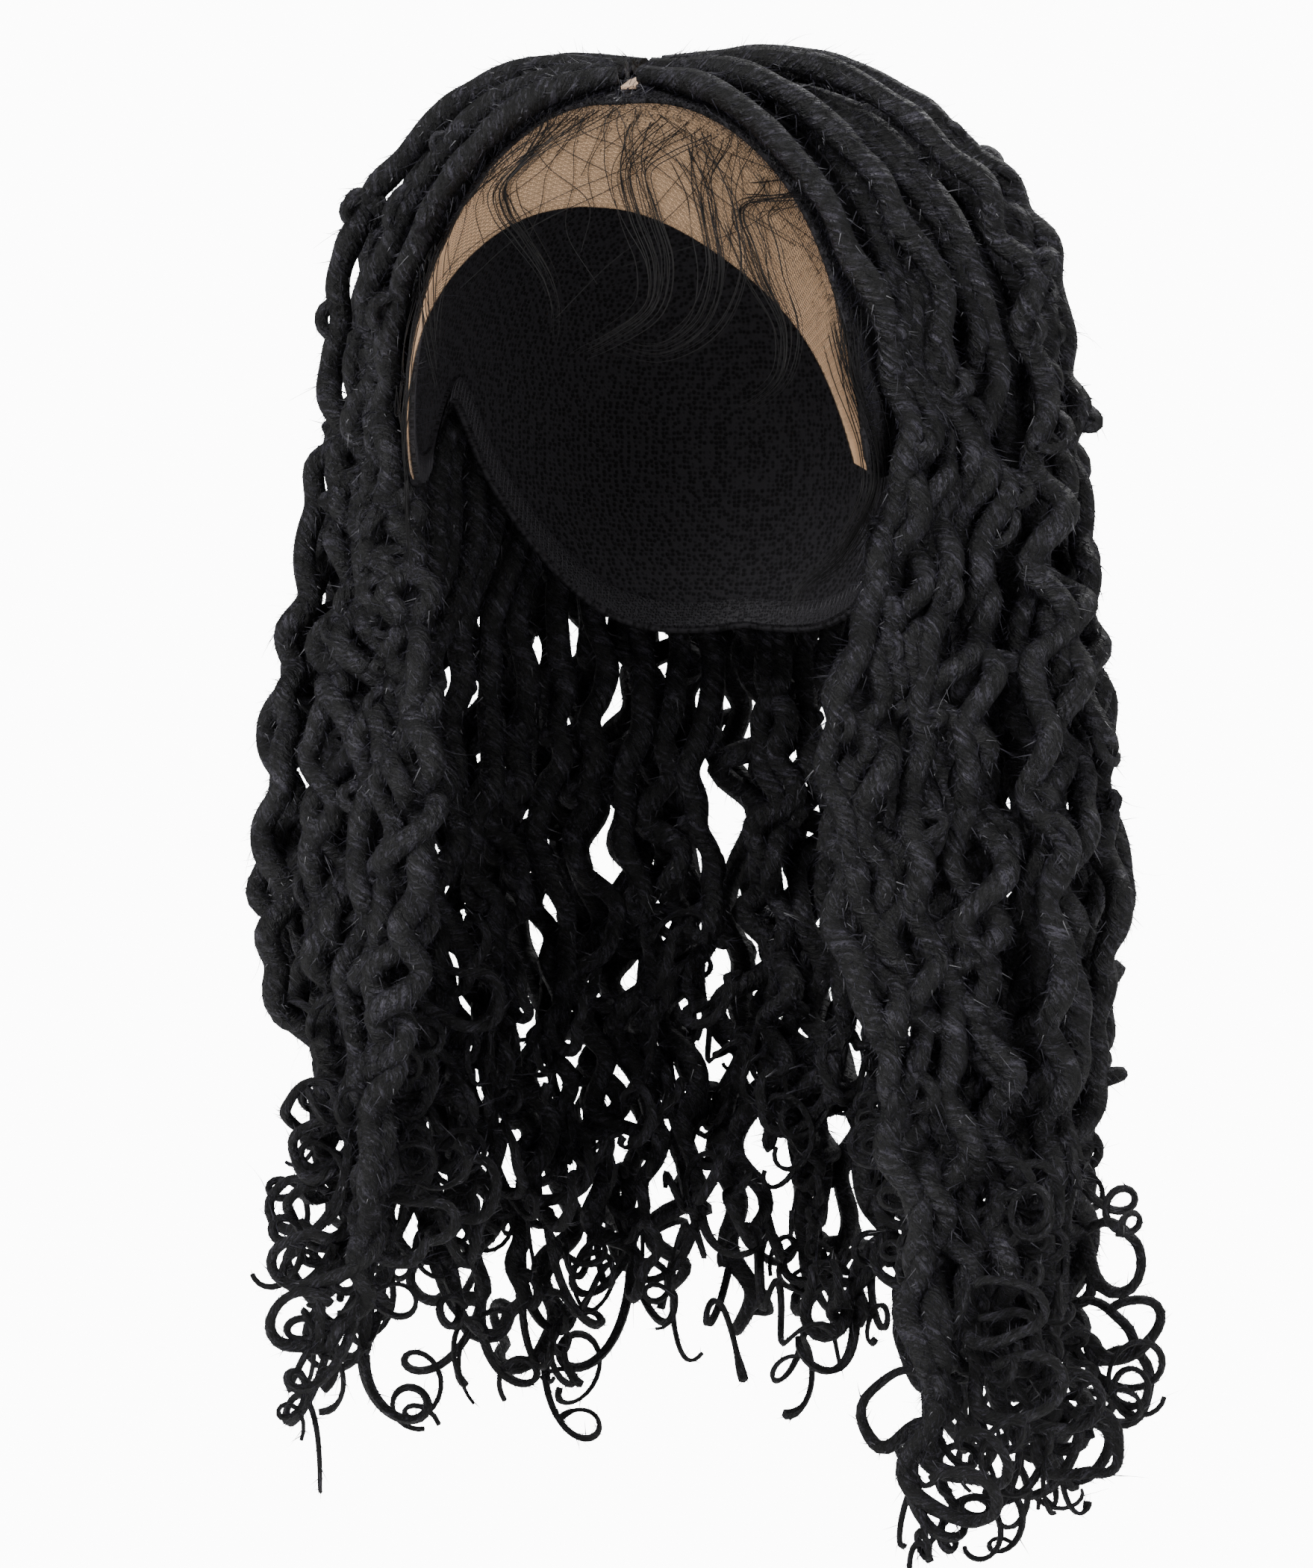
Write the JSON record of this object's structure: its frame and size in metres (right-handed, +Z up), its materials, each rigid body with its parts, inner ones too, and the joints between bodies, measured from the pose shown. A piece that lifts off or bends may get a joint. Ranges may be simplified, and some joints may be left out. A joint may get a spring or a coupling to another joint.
{
  "type": "faux-locs lace front wig",
  "caption": "Long dark faux-locs wig with a centre part, wavy locs with curled ends, a stretch cap and a tan lace front, in its worn form.",
  "frame": {"origin": "where the crown of the head touches the inside of the cap", "axes": "+Z up, the face looks along -Y, +X to the wearer's left"},
  "size_m": [0.2881, 0.2458, 0.4505],
  "materials": {
    "cap_net": "black stretch net, matt",
    "lace": "sheer tan lace net, matt",
    "hair": "black crimped synthetic fibre, soft sheen, fuzzy"
  },
  "bodies": {
    "root": {"wig_cap": "cap_net", "lace_front": "lace", "parting_strip": "lace", "top_loc_left_1": "hair", "top_loc_left_2": "hair", "top_loc_left_3": "hair", "top_loc_left_4": "hair", "top_loc_left_5": "hair", "top_loc_left_6": "hair", "top_loc_left_7": "hair", "top_loc_left_8": "hair", "top_loc_left_9": "hair", "top_loc_right_1": "hair", "top_loc_right_2": "hair", "top_loc_right_3": "hair", "top_loc_right_4": "hair", "top_loc_right_5": "hair", "top_loc_right_6": "hair", "top_loc_right_7": "hair", "top_loc_right_8": "hair", "top_loc_right_9": "hair", "middle_loc_left_1": "hair", "middle_loc_left_2": "hair", "middle_loc_left_3": "hair", "middle_loc_left_4": "hair", "middle_loc_left_5": "hair", "middle_loc_left_6": "hair", "middle_loc_right_1": "hair", "middle_loc_right_2": "hair", "middle_loc_right_3": "hair", "middle_loc_right_4": "hair", "middle_loc_right_5": "hair", "middle_loc_right_6": "hair", "lower_loc_left_1": "hair", "lower_loc_left_2": "hair", "lower_loc_left_3": "hair", "lower_loc_left_4": "hair", "lower_loc_left_5": "hair", "lower_loc_left_6": "hair", "lower_loc_right_1": "hair", "lower_loc_right_2": "hair", "lower_loc_right_3": "hair", "lower_loc_right_4": "hair", "lower_loc_right_5": "hair", "lower_loc_right_6": "hair"}
  },
  "joints": []
}
